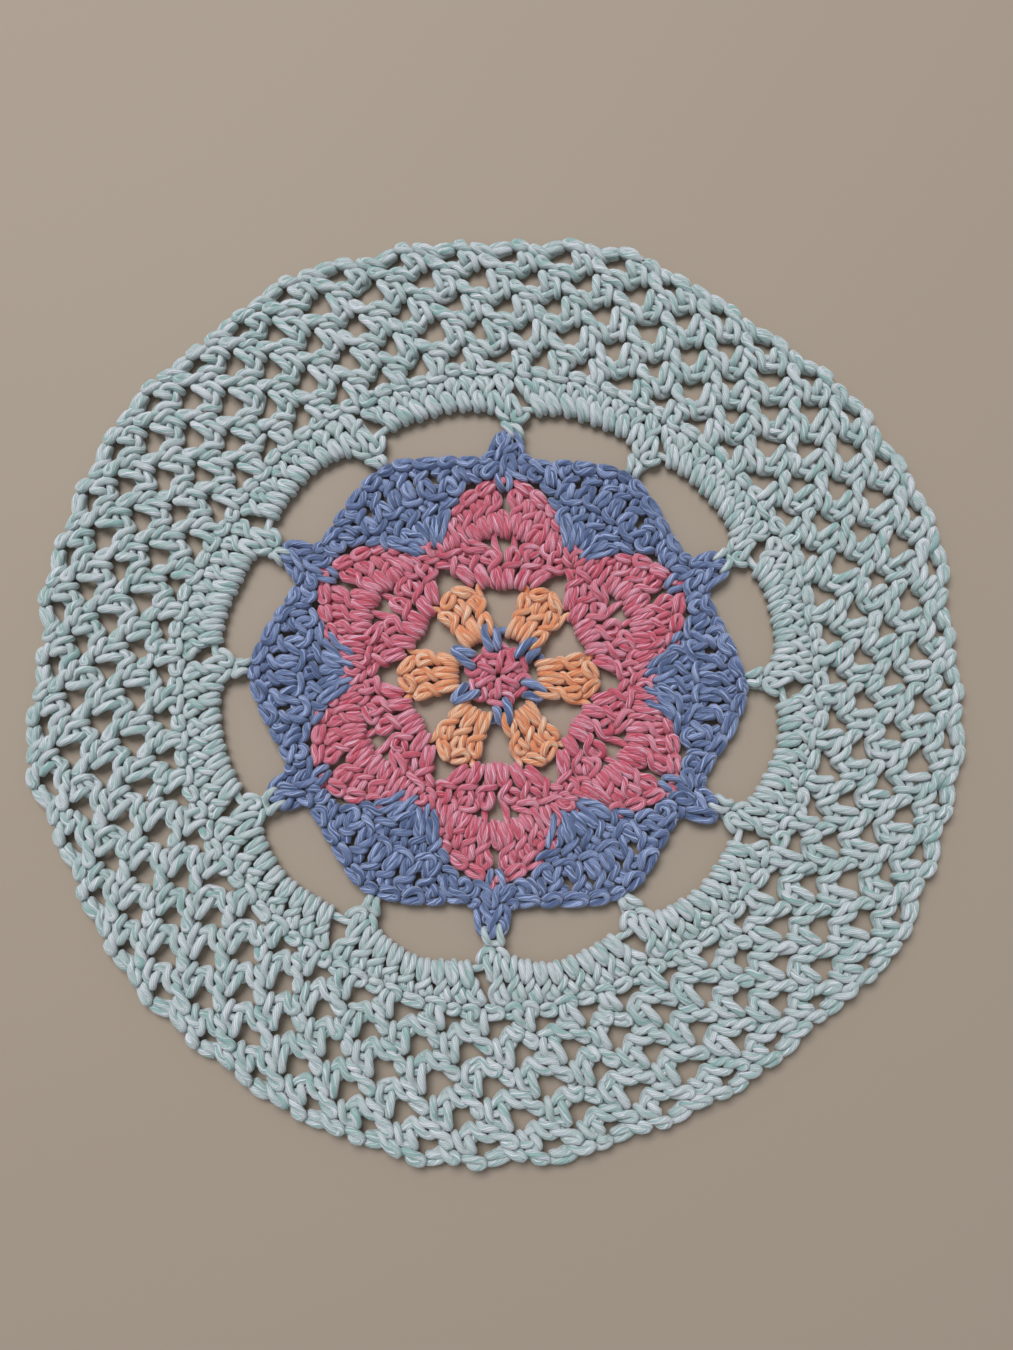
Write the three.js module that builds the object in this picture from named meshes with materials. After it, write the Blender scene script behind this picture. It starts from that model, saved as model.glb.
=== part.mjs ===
// A round crochet coaster that lies flat: a six-petalled flower in four colours, hung by twelve
// joints in the middle of a wide mint ring of open mesh. Each yarn is one solid of the form that
// it takes in the finished cloth, apart from the six orange shells, which are worked one by one.
// Millimetres, +Z up, the underside on Z = 0. Turns are in degrees, clockwise from the far side (+Y).

import * as THREE from 'three';

// Cloth
const FLOWER_THICK = 3.0; // three yarns where stitches cross
const RING_THICK = 2.8;
const EDGE_ROUND = 0.6; // how far the flower's edges are rounded over
const YARN_GAP = 0.3; // between one yarn's solid and the next
const REPEATS = 6; // petals, shells, fans and knots round the flower
const SECTOR = 360 / REPEATS;

// Centre, pink, and the blue knots worked over its edge
const CENTRE_RADIUS = 6.2;
const CENTRE_LOBE = 0.35; // how far each of its six stitches swells out
const COLLAR_WAIST = 8.1; // under a shell
const COLLAR_KNOT = 10.0; // at a knot, between two shells
const COLLAR_POINTS = 72;

// Outlines of a sixth of the flower, from its middle line outwards: turn and radius of each corner
const SHELL_SIDE = [
  // from the shell's foot on the collar to the middle of its crown
  { turn: 11, radius: 8.6 },
  { turn: 14, radius: 11.2 },
  { turn: 19, radius: 14.0 },
  { turn: 20.5, radius: 16.2 },
  { turn: 13, radius: 17.9 },
  { turn: 5, radius: 18.6 },
];
const PETAL_INNER = [
  // from the petal's middle to the bay behind a shell
  { turn: 0, radius: 16.9 },
  { turn: 9, radius: 16.6 },
  { turn: 14, radius: 18.3 },
  { turn: 22, radius: 21.2 },
  { turn: 30, radius: 22.6 },
];
const PETAL_OUTER = [
  // from the petal's tip to the valley between two petals
  { turn: 0, radius: 38.7 },
  { turn: 5, radius: 38.2 },
  { turn: 10, radius: 36.7 },
  { turn: 15, radius: 34.3 },
  { turn: 20, radius: 31.7 },
  { turn: 25, radius: 29.2 },
  { turn: 30, radius: 28.0 },
];

// The petals' middle lines, their eyes and the slits under their tips
const PETALS = [
  { turn: 2, eye: 26.2, slit: 34.4 },
  { turn: 63, eye: 25.7, slit: 34.4 },
  { turn: 123, eye: 26.2, slit: 35.0 },
  { turn: 181, eye: 26.0, slit: 34.8 },
  { turn: 241, eye: 25.4, slit: 34.6 },
  { turn: 301, eye: 26.4, slit: 34.9 },
];
const EYE = { across: 4.4, along: 4.2, points: 10 };
const SLIT = { across: 2.8, along: 4.6, points: 8 };

// Blue border: a fan in each valley, a chain edge past each petal and a post on each petal's tip
const CHAIN_RADIUS = 40.3; // of the chain edge where a post stands on it
const POST_WIDTH = 4.6;
const FAN_TURN = 26.5; // from a post to the near side of the fan's crown
const FAN_RADIUS = 45.6;
const JOINT_RADIUS = 46.6; // where a blue post or crown meets the mint ring

// Mint ring: twelve arches, then rounds of open mesh
const JOINTS = [3, 33, 63, 91, 121, 151, 181, 209, 241, 272, 300, 331]; // posts and crowns by turns
const TAB_WIDTH = 4.4; // of the ring's tab at a joint
const TAB_RADIUS = 49.4; // where the tab widens into the arches
const ARCH_RADIUS = 53.6; // at an arch's middle
const ARCH_SQUARE = 3; // how full the arch is
const ARCH_POINTS = 9;
const MESH_COUNT = 48; // gaps in each round
const MESH_POINTS = 7;
const MESH_ROUNDS = [
  // each round's gaps lie between those of the round before
  { radius: 63.1, across: 4.2, along: 4.0, lean: 10 },
  { radius: 68.8, across: 4.3, along: 4.1, lean: -8 },
  { radius: 74.6, across: 4.5, along: 4.1, lean: 8 },
  { radius: 80.3, across: 4.6, along: 4.1, lean: -8 },
];

// The ring's outer edge, as unevenly as it was worked
const EDGE = [
  { turn: 0, radius: 88.4 },
  { turn: 18, radius: 90.0 },
  { turn: 27, radius: 87.8 },
  { turn: 36, radius: 86.8 },
  { turn: 52, radius: 89.0 },
  { turn: 70, radius: 89.1 },
  { turn: 84, radius: 87.0 },
  { turn: 104, radius: 87.6 },
  { turn: 122, radius: 88.0 },
  { turn: 145, radius: 85.6 },
  { turn: 163, radius: 86.2 },
  { turn: 182, radius: 87.8 },
  { turn: 200, radius: 87.1 },
  { turn: 215, radius: 86.2 },
  { turn: 232, radius: 87.4 },
  { turn: 245, radius: 86.8 },
  { turn: 256, radius: 89.0 },
  { turn: 274, radius: 87.0 },
  { turn: 290, radius: 89.4 },
  { turn: 308, radius: 90.4 },
  { turn: 316, radius: 89.2 },
  { turn: 330, radius: 91.2 },
  { turn: 345, radius: 89.4 },
];
const EDGE_POINTS = MESH_COUNT * 4; // two loops to a gap, a point on each loop and in each dip
const LOOP_DEPTH = 0.5;

const COTTON_ROUGHNESS = 0.9;
const COLOURS = {
  pink: 0xc96a7a,
  blue: 0x5d7099,
  orange: 0xe0a06c,
  mint: 0xb9cfc8,
};

// A point at a turn and a radius from the flower's middle
function at(turn, radius) {
  const angle = THREE.MathUtils.degToRad(turn);
  return new THREE.Vector2(radius * Math.sin(angle), radius * Math.cos(angle));
}

// One side of an outline and its mirror image, about a middle line
function bothSides(side, middle) {
  const left = side.map((p) => at(middle - p.turn, p.radius));
  const right = side.map((p) => at(middle + p.turn, p.radius)).reverse();
  return [...left, ...right];
}

// The radius of a closed table of corners at any turn, easing from each corner to the next
function radiusAt(table, turn) {
  const next = table.findIndex((row) => row.turn > turn);
  const to = next < 0 ? { turn: 360, radius: table[0].radius } : table[next];
  const from = next < 0 ? table[table.length - 1] : table[next - 1];
  const share = (turn - from.turn) / (to.turn - from.turn);
  const eased = (1 - Math.cos(Math.PI * share)) / 2;
  return THREE.MathUtils.lerp(from.radius, to.radius, eased);
}

// A closed outline moved outwards by a distance; its points run clockwise
function grown(points, distance) {
  return points.map((point, i) => {
    const before = points[(i + points.length - 1) % points.length];
    const after = points[(i + 1) % points.length];
    const into = point.clone().sub(before).normalize();
    const out = after.clone().sub(point).normalize();
    const normal = new THREE.Vector2(-(into.y + out.y), into.x + out.x).normalize();
    const spread = distance / Math.max(0.5, Math.sqrt((1 + into.dot(out)) / 2));
    return point.clone().addScaledVector(normal, spread);
  });
}

// An oval gap at a turn and a radius, leaning from the radial line
function gap(turn, radius, size, lean = 0) {
  const middle = at(turn, radius);
  return Array.from({ length: size.points }, (unused, i) => {
    const angle = (2 * Math.PI * i) / size.points;
    const point = new THREE.Vector2(size.across * Math.cos(angle), size.along * Math.sin(angle));
    point.multiplyScalar(0.5);
    point.rotateAround(new THREE.Vector2(), THREE.MathUtils.degToRad(lean - turn));
    return point.add(middle);
  });
}

// A flat piece of cloth from its outline and its gaps, its underside on the surface below
function cloth(name, colour, outline, gaps, thick, rounding) {
  const shape = new THREE.Shape([...outline].reverse());
  shape.holes = gaps.map((points) => new THREE.Path(points));
  const geometry = new THREE.ExtrudeGeometry(shape, {
    depth: thick - 2 * rounding,
    steps: 1,
    bevelEnabled: rounding > 0,
    bevelSize: rounding,
    bevelOffset: -rounding,
    bevelThickness: rounding,
    bevelSegments: 1,
  });
  geometry.translate(0, 0, rounding);
  const material = new THREE.MeshStandardMaterial({
    color: colour,
    roughness: COTTON_ROUGHNESS,
    metalness: 0,
  });
  const mesh = new THREE.Mesh(geometry, material);
  mesh.name = name;
  return mesh;
}

// Pink centre: six chunky stitches round a closed eye
function centreOutline() {
  return Array.from({ length: COLLAR_POINTS }, (unused, i) => {
    const turn = (360 * i) / COLLAR_POINTS;
    const lobe = CENTRE_LOBE * Math.cos(THREE.MathUtils.degToRad(turn * REPEATS));
    return at(turn, CENTRE_RADIUS - CENTRE_LOBE + lobe);
  });
}

// Blue collar: a knot over the centre's edge between each two shells
function collarOutline() {
  return Array.from({ length: COLLAR_POINTS }, (unused, i) => {
    const turn = (360 * i) / COLLAR_POINTS;
    const swell = (1 + Math.cos(THREE.MathUtils.degToRad(turn * REPEATS))) / 2;
    return at(turn, THREE.MathUtils.lerp(COLLAR_WAIST, COLLAR_KNOT, swell ** 2));
  });
}

// The middle line between two petals, where a shell, a valley and a fan lie
function valleyAfter(k) {
  const next = PETALS[(k + 1) % REPEATS].turn + (k + 1 === REPEATS ? 360 : 0);
  return (PETALS[k].turn + next) / 2;
}

// A ring of corners that repeats at each petal, from a table that goes to the valley beside it
function petalOutline(side) {
  return PETALS.flatMap((petal, k) => {
    const before = valleyAfter((k + REPEATS - 1) % REPEATS) % 360;
    const left = (((petal.turn - before) % 360) + 360) % 360;
    const right = valleyAfter(k) - petal.turn;
    const reach = side[side.length - 1].turn;
    const inward = side.slice(0, -1).reverse();
    return [
      ...inward.map((p) => at(petal.turn - (p.turn * left) / reach, p.radius)),
      ...side.slice(1).map((p) => at(petal.turn + (p.turn * right) / reach, p.radius)),
    ];
  });
}

// Blue border's outer edge: posts on the even joints, fan crowns on the odd ones
function borderOutline() {
  const half = THREE.MathUtils.radToDeg(POST_WIDTH / 2 / JOINT_RADIUS);
  const foot = THREE.MathUtils.radToDeg(POST_WIDTH / 2 / CHAIN_RADIUS);
  const crown = SECTOR / 2 - FAN_TURN;
  return JOINTS.flatMap((turn, k) => {
    if (k % 2 === 0) {
      return [
        at(turn - foot, CHAIN_RADIUS),
        at(turn - half, JOINT_RADIUS),
        at(turn + half, JOINT_RADIUS),
        at(turn + foot, CHAIN_RADIUS),
      ];
    }
    return [
      at(turn - crown, FAN_RADIUS),
      at(turn - crown / 2, JOINT_RADIUS),
      at(turn + crown / 2, JOINT_RADIUS),
      at(turn + crown, FAN_RADIUS),
    ];
  });
}

// Mint ring's inner edge: a tab at each joint and an arch to the next
function archOutline() {
  return JOINTS.flatMap((turn, k) => {
    const next = k + 1 < JOINTS.length ? JOINTS[k + 1] : JOINTS[0] + 360;
    const end = THREE.MathUtils.radToDeg(TAB_WIDTH / 2 / JOINT_RADIUS);
    const shoulder = THREE.MathUtils.radToDeg(TAB_WIDTH / 2 / TAB_RADIUS);
    const arch = Array.from({ length: ARCH_POINTS }, (unused, i) => {
      const share = i / (ARCH_POINTS - 1);
      const fullness = 1 - Math.abs(2 * share - 1) ** ARCH_SQUARE;
      const radius = THREE.MathUtils.lerp(TAB_RADIUS, ARCH_RADIUS, fullness);
      return at(THREE.MathUtils.lerp(turn + shoulder, next - shoulder, share), radius);
    });
    const tab = JOINT_RADIUS + YARN_GAP;
    return [at(turn - end, tab), at(turn + end, tab), ...arch];
  });
}

// Mint ring's outer edge: the uneven circle with its closing round of loops
function edgeOutline() {
  return Array.from({ length: EDGE_POINTS }, (unused, i) => {
    const turn = (360 * i) / EDGE_POINTS;
    const dip = i % 2 === 0 ? 0 : LOOP_DEPTH;
    return at(turn, radiusAt(EDGE, turn) - dip);
  });
}

// The ring's gaps: each round moves on by half a gap
function meshGaps() {
  return MESH_ROUNDS.flatMap((round, k) =>
    Array.from({ length: MESH_COUNT }, (unused, i) => {
      const turn = ((i + (k % 2) / 2) * 360) / MESH_COUNT;
      const size = { across: round.across, along: round.along, points: MESH_POINTS };
      return gap(turn, round.radius, size, round.lean);
    }),
  );
}

const coaster = new THREE.Group();

const centre = centreOutline();
coaster.add(cloth('centre_pink', COLOURS.pink, centre, [], FLOWER_THICK, EDGE_ROUND));

const collar = collarOutline();
const collarInside = grown(centre, YARN_GAP);
coaster.add(cloth('collar_blue', COLOURS.blue, collar, [collarInside], FLOWER_THICK, EDGE_ROUND));

PETALS.forEach((petal, k) => {
  const outline = bothSides(SHELL_SIDE, valleyAfter(k));
  coaster.add(cloth(`shell_orange_${k + 1}`, COLOURS.orange, outline, [], FLOWER_THICK, EDGE_ROUND));
});

const petalEdge = petalOutline(PETAL_OUTER);
const petalGaps = PETALS.flatMap((petal) => [
  gap(petal.turn, petal.eye, EYE),
  gap(petal.turn, petal.slit, SLIT),
]);
const petalInside = petalOutline(PETAL_INNER);
coaster.add(
  cloth('petals_pink', COLOURS.pink, petalEdge, [petalInside, ...petalGaps], FLOWER_THICK, EDGE_ROUND),
);

const borderInside = grown(petalEdge, YARN_GAP);
const border = borderOutline();
coaster.add(cloth('border_blue', COLOURS.blue, border, [borderInside], FLOWER_THICK, EDGE_ROUND));

const edge = edgeOutline();
const ringGaps = [archOutline(), ...meshGaps()];
coaster.add(cloth('ring_mint', COLOURS.mint, edge, ringGaps, RING_THICK, 0));

// The coaster's reference point is the middle of its outline, on the surface that it lies on
const outline = new THREE.Box2().setFromPoints(edge);
const middle = outline.getCenter(new THREE.Vector2());
coaster.position.set(-middle.x, -middle.y, 0);

export default coaster;
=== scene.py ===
# %% [markdown]
# # A round crochet coaster, yarn by yarn
# The real thing is a handful of soft cotton yarns, looped through themselves from the middle
# outwards. A picture on a flat disc would look right from one side only, so each yarn is laid here
# as a maker lays it: stitch by stitch, on its own course, and then swept into a round strand. The
# frame holds flat solids for the yarns, at the same size. The centre's solid gives the flower's
# middle, and every yarn takes the place of the solid of its rounds.

# %% The frame
import math

import bpy
import numpy as np
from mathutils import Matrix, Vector


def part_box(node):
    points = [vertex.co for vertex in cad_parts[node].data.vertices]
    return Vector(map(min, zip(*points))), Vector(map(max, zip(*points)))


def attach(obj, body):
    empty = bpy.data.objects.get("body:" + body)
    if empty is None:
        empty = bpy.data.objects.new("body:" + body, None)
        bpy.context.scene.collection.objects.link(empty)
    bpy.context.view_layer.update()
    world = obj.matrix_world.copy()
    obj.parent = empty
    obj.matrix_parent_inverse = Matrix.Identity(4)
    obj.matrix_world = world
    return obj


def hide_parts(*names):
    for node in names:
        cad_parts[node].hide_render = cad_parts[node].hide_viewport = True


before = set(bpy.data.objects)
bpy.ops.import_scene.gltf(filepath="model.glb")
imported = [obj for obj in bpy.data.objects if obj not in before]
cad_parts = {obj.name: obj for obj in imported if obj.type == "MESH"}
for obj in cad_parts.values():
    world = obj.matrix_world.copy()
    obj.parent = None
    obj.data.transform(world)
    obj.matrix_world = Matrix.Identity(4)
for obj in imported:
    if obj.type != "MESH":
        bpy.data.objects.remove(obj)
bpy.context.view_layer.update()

MM = 0.001
low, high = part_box("centre_pink")
MIDDLE = np.array([(low.x + high.x) / 2, (low.y + high.y) / 2]) / MM
print("flower's middle in the frame, mm:", MIDDLE.round(3))

# %% [markdown]
# ## Camera
# The picture was taken by hand from almost straight above. The mesh looks wider towards the near
# edge, which a camera nine degrees off straight down and about twenty centimetres away explains, so
# the real distance and lens are kept. A quaternion is a safe way to aim one thing at another.

# %% The camera
TILT = math.radians(9.0)
DISTANCE = 207.0
AIM = MIDDLE + np.array([1.5, 0.0])
AIM_HEIGHT = 2.0
FOCAL_PIXELS = 1103.0
LONG_SIDE_PIXELS = 1350.0
SENSOR = 36.0
NEAREST_SEEN = 0.01
FARTHEST_SEEN = 5.0


def linked(name, data):
    """A new object in the scene."""
    made = bpy.data.objects.new(name, data)
    bpy.context.scene.collection.objects.link(made)
    return made


def stood(name, data, place, way):
    """A new camera or lamp in the scene, at a place and looking a way."""
    made = linked(name, data)
    made.location = place
    made.rotation_mode = "QUATERNION"
    made.rotation_quaternion = way.to_track_quat("-Z", "Y")
    return made


lens = bpy.data.cameras.new("camera")
lens.sensor_width = SENSOR
lens.lens = SENSOR * FOCAL_PIXELS / LONG_SIDE_PIXELS
lens.clip_start = NEAREST_SEEN
lens.clip_end = FARTHEST_SEEN
aim = Vector((AIM[0], AIM[1], AIM_HEIGHT)) * MM
back = Vector((0.0, -math.sin(TILT), math.cos(TILT)))
camera = stood("camera", lens, aim + back * DISTANCE * MM, -back)
bpy.context.scene.camera = camera
print("lens, mm:", round(lens.lens, 2), "camera at", [round(v, 4) for v in camera.location])

# %% [markdown]
# ## Laying a yarn
# A yarn's course is a list of points: across, outwards and up, in millimetres. A stitch is a small
# set of such points about its own axis, from the place where it is worked in, its foot, up to its
# head. The axis may bend at a knee, as stitches in a fan do. Work goes to the left when outwards is
# up, as a right-handed maker works. Curve objects could hold the same points, but plain lists let
# all the yarns be moved together later.

# %% The course of a yarn
LOW, MID, HIGH, TOP = 0.78, 1.40, 2.05, 2.5


def unit(v):
    """The same direction, one long."""
    return v / max(1e-9, float(np.hypot(*v)))


def at(turn, radius):
    """A point at a turn, in degrees clockwise from the far side, and a radius."""
    angle = math.radians(turn)
    return np.array([radius * math.sin(angle), radius * math.cos(angle)])


class Yarn:
    """One yarn's course, in mm about the flower's middle, and its radius pressed and free.

    The highest place is where the middle of the yarn may lie above the floor.
    """

    def __init__(self, name, pressed=0.60, full=0.78, highest=2.75):
        self.name = name
        self.pressed = pressed
        self.full = full
        self.highest = highest
        self.course = []

    def put(self, point, height):
        self.course.append((point[0], point[1], height))

    def along(self, foot, head, rows, knee=None):
        """Rows of places about a stitch's axis: across, share of the way up, mm more, height."""
        reach = head - foot
        tall = float(np.hypot(*reach))
        bend = np.zeros(2) if knee is None else knee - (foot + head) / 2
        for across, share, extra, height in rows:
            t = share + extra / tall
            clamped = min(1.0, max(0.0, t))
            point = foot + reach * t + bend * 4 * clamped * (1 - clamped)
            way = unit(reach + bend * 4 * (1 - 2 * clamped))
            self.put(point + across * np.array([way[1], -way[0]]), height)


print("a yarn lies with its middle", LOW, "to", TOP, "mm above the floor")

# %% [markdown]
# ## The chain
# A chain is a loop that comes up through the loop before it, goes over its end and leaves a bump
# behind. It is also the head of every other stitch, so one function serves for the whole top edge
# of a round: the two upper legs are what shows as a braid, and the last two points are the bump.

# %% The chain
OVER = HIGH + 0.2


def chain(yarn, foot, head, wide=0.85, swell=0.0):
    """A loop from foot to head. Swell bows it outwards."""
    way = unit(head - foot)
    outward = np.array([way[1], -way[0]])
    middle = (foot + head) / 2 + swell * outward
    yarn.put(foot - 0.15 * way + 0.30 * outward, 0.95)
    yarn.put(foot + 0.25 * way + 0.42 * outward, (MID + HIGH) / 2 + 0.1)
    yarn.put(middle - 0.1 * way + wide * outward, HIGH)
    yarn.put(head - 0.1 * way + 0.9 * wide * outward, MID + 0.25)
    yarn.put(head + 0.75 * way + 0.1 * outward, MID)
    yarn.put(head - 0.1 * way - 0.9 * wide * outward, MID + 0.3)
    yarn.put(middle - 0.1 * way - wide * outward, OVER)
    yarn.put(foot + 0.25 * way - 0.42 * outward, (MID + OVER) / 2 + 0.2)
    yarn.put(foot - 0.15 * way - 0.25 * outward, 1.1)
    yarn.put(foot + 0.35 * way, LOW)
    yarn.put(head - 0.6 * way, LOW)


def tell(stitch, tall):
    """Prints how many points a stitch takes."""
    trial = Yarn("trial")
    stitch(trial, at(0, 0), at(0, tall))
    print("points in a", stitch.__name__.replace("_", " ") + ":", len(trial.course))


tell(chain, 3)

# %% [markdown]
# ## The short stitch
# The short stitch pulls a loop up over what it is worked into, which shows as a V. Both legs start
# under the foot, come round it and meet again under the head. The left leg is the longer, because
# the finished loop leans the way the work goes.

# %% The short stitch


def short_stitch(yarn, foot, head, knee=None):
    """A loop pulled up over what lies at the foot."""
    yarn.along(foot, head, [
        (0.6, 0.62, 0, LOW), (0.66, 0.2, 0, LOW), (0.68, 0, -0.95, 0.85),
        (0.66, 0, -1.05, 1.6), (0.62, 0, -0.35, 2.3), (0.62, 0.25, 0, TOP),
        (0.68, 0.5, 0, HIGH + 0.1), (0.55, 0.74, 0, MID), (-0.2, 0.97, 0, 1.05),
        (-1.15, 1.04, 0, MID + 0.1), (-1.75, 0.93, 0, HIGH - 0.05), (-1.65, 0.76, 0, 2.35),
        (-1.2, 0.46, 0, TOP), (-0.78, 0.14, 0, TOP), (-0.6, 0, -0.45, 2.25),
        (-0.56, 0, -1.05, 1.5), (-0.54, 0, -0.95, 0.8), (-0.5, 0.15, 0, LOW),
        (-0.4, 0.5, 0, LOW), (-0.2, 0.86, 0, LOW + 0.05),
    ], knee)


tell(short_stitch, 3)

# %% [markdown]
# ## The knot
# A knot is a short stitch drawn tight around two rounds at once. It stands higher than the rest of
# the flower, and all that shows of it is two thick strands side by side.

# %% The knot


def knot(yarn, foot, head):
    """A short stitch drawn tight around two rounds."""
    yarn.along(foot, head, [
        (0.6, 0.7, 0, LOW), (0.7, 0.2, 0, LOW), (0.8, 0, -0.5, 1.0),
        (0.85, 0, -0.2, 2.4), (0.95, 0.25, 0, 3.4), (0.95, 0.6, 0, 3.3),
        (0.7, 0.9, 0, 2.6), (0.0, 1.0, 0.35, 1.9), (-0.7, 0.92, 0, 2.6),
        (-0.95, 0.65, 0, 3.3), (-0.95, 0.3, 0, 3.4), (-0.85, 0, -0.2, 2.4),
        (-0.75, 0, -0.5, 1.0), (-0.6, 0.25, 0, LOW), (-0.6, 0.75, 0, LOW),
    ])


tell(knot, 4)

# %% [markdown]
# ## The tall stitch
# The tall stitch is two loops, one over the other, with a wrap of yarn between them. Its lower loop
# goes round what it is worked into and shows as two straight strands. The upper loop crosses the
# wrap at the joint and shows as a leaning V. A narrower or wider upper loop, and a lower or higher
# joint, fit it to a close fan or to a row of posts.

# %% The tall stitch


def tall_stitch(yarn, foot, head, knee=None, joint=0.52, narrow=1.0):
    """Two loops and a wrap. The joint is a share of the height, narrow widens the upper loop."""
    j, n = joint, narrow
    yarn.along(foot, head, [
        (0.95 * n, j + 0.3, 0, 0.95), (1.2 * n, j + 0.2, 0, 1.55),
        (0.6 * n, j + 0.1, 0, 2.35), (-0.5 * n, j, 0, 2.4),
        (-1.1 * n, j - 0.07, 0, 1.5), (-0.55 * n, j - 0.1, 0, 0.75),
        (0.3, j * 0.55, 0, LOW), (0.58, j * 0.2, 0, LOW), (0.62, 0, -0.9, 0.85),
        (0.6, 0, -1.05, 1.6), (0.58, 0, -0.3, 2.25), (0.62, j * 0.4, 0, 2.4),
        (0.62, j * 0.8, 0, HIGH + 0.1), (0.4, j + 0.04, 0, MID), (-0.25, j + 0.07, 0, 1.2),
        (-0.72, j - 0.02, 0, 1.7), (-0.68, j * 0.72, 0, 2.3), (-0.64, j * 0.3, 0, 2.4),
        (-0.6, 0, -0.3, 2.25), (-0.58, 0, -1.05, 1.5), (-0.56, 0, -0.9, 0.8),
        (-0.5, j * 0.3, 0, LOW), (-0.3, j * 0.75, 0, LOW), (0.15, j - 0.02, 0, 1.1),
        (0.55 * n, j + 0.1, 0, 2.2), (0.68 * n, j + 0.25, 0, 2.35),
        (0.5 * n, j + 0.38, 0, 1.6), (-0.2 * n, j + 0.46, 0, 1.15),
        (-1.05 * n, j + 0.46, 0, 1.45), (-1.35 * n, j + 0.36, 0, 2.1),
        (-1.0 * n, j + 0.2, 0, 2.4), (-0.45 * n, j + 0.08, 0, 2.25),
        (-0.1, j, 0, 1.3), (-0.15, j + 0.12, 0, LOW + 0.05),
        (-0.2, 0.88, 0, LOW + 0.05),
    ], knee)


tell(tall_stitch, 8)

# %% [markdown]
# ## A round
# A round is a list of stitches, each with its foot, its head and its knee. Between two heads goes a
# chain. Where later stitches are worked around a chain they hide it, and there the yarn just runs
# through them, which saves thousands of points that nobody would see.

# %% Working a round
HIDDEN = 1.0


def work_round(yarn, stitches, tall=None, **style):
    """Rows of (kind, foot, head, knee). A chain or a run has no foot of its own."""
    for i, (kind, foot, head, knee) in enumerate(stitches):
        following = stitches[(i + 1) % len(stitches)]
        if kind == "tall":
            tall_stitch(yarn, foot, head, knee, **(tall or {}))
        if kind == "short":
            short_stitch(yarn, foot, head, knee)
        if kind == "knot":
            knot(yarn, foot, head)
        if kind == "run":
            yarn.put(head, HIDDEN)
        elif following[0] != "run":
            chain(yarn, head, following[2], **style)
    print(yarn.name, "has", len(yarn.course), "points after a round of", len(stitches))


# %% [markdown]
# ## The pink centre
# The middle lines of the six petals are not quite sixty degrees apart, because it is handwork. The
# shells and the fans lie midway between them. The centre itself is six chunky short stitches drawn
# closed, in a thicker yarn, with heads that swell outwards.

# %% The pink centre
PETALS = [2, 63, 123, 181, 241, 301]
VALLEYS = [(a + b) / 2 for a, b in zip(PETALS, PETALS[1:] + [PETALS[0] + 360])]
CENTRE_FOOT = 1.1
CENTRE_HEAD = 4.3
CENTRE_LEAN = 4

centre = Yarn("yarn_centre_pink", 0.66, 0.86, 3.1)
rows = []
for turn in range(330, -30, -60):
    rows.append(("short", at(turn, CENTRE_FOOT), at(turn - CENTRE_LEAN, CENTRE_HEAD), None))
work_round(centre, rows, wide=0.85, swell=0.75)

# %% [markdown]
# ## The blue knots
# Six knots sit over the centre's edge, at uneven turns. Between them the yarn runs behind the
# orange shells, where it can't be seen from above.

# %% The blue knots
KNOTS = [347, 48, 112, 170, 237, 297]
KNOT_FOOT = 5.2
KNOT_HEAD = 9.7
KNOT_LEAN = 3
BEHIND_SHELLS = 8.2
BEHIND = (-16, -30, -44)

collar = Yarn("yarn_collar_blue", 0.74, 0.98, 3.4)
rows = []
for turn in reversed(KNOTS):
    rows.append(("knot", at(turn + KNOT_LEAN, KNOT_FOOT), at(turn, KNOT_HEAD), None))
    for side in BEHIND:
        rows.append(("run", None, at(turn + side, BEHIND_SHELLS), None))
work_round(collar, rows)

# %% [markdown]
# ## The orange shells
# Each shell is three tall stitches in one place, which open like a fan and are rounded on top. The
# chain from one shell to the next lies inside the pink stitches that are worked over it.

# %% The orange shells
SHELL = [  # turn of the head, turn of the foot, radius of the head
    (10.5, 12.5, 16.3),
    (0.0, 0.0, 17.9),
    (-10.5, -12.5, 16.3),
]
SHELL_KNEE = 12.0
SHELL_BULGE = 1.3
INSIDE_PETALS = 18.1

orange = Yarn("yarn_shells_orange")
rows = []
for valley in reversed(VALLEYS):
    for side, foot, head in SHELL:
        knee = at(valley + side * SHELL_BULGE, SHELL_KNEE)
        rows.append(("tall", at(valley + foot, BEHIND_SHELLS), at(valley + side, head), knee))
    for side in (-15.0, -22.0, -30.0, -38.0, -45.0):
        rows.append(("run", None, at(valley + side, INSIDE_PETALS), None))
work_round(orange, rows)

# %% [markdown]
# ## The petals' first round
# Three tall stitches on each side of a petal's middle line spread out and leave an open eye between
# them. Points are given across and outwards from the middle line, so one table makes both sides. A
# short stitch over the eye stands in for the middle of the next round.

# %% The petals' first round
petals = Yarn("yarn_petals_pink", 0.59, 0.80)
INNER = [  # kind, foot, head, knee
    ("tall", (5.9, 18.0), (12.2, 23.3), (8.6, 20.4)),
    ("tall", (3.4, 17.6), (7.5, 24.4), (4.9, 20.6)),
    ("tall", (1.1, 17.4), (3.3, 24.2), (1.3, 20.6)),
]
EYE_SIDE, EYE_TOP = 1.9, 27.7
OVER_EYE = ("short", (0.2, 27.9), (0.2, 32.0), None)


def of_petal(turn, x, y):
    """A point across and outwards from a petal's middle line."""
    angle = math.radians(turn)
    across = x * math.cos(angle) + y * math.sin(angle)
    outwards = y * math.cos(angle) - x * math.sin(angle)
    return np.array([across, outwards])


def petal_stitch(turn, side, kind, foot, head, knee):
    """A row for one stitch of a petal, on its right side with 1 and on its left with -1."""
    bent = None if knee is None else of_petal(turn, side * knee[0], knee[1])
    return kind, of_petal(turn, side * foot[0], foot[1]), of_petal(turn, side * head[0], head[1]), bent


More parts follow.
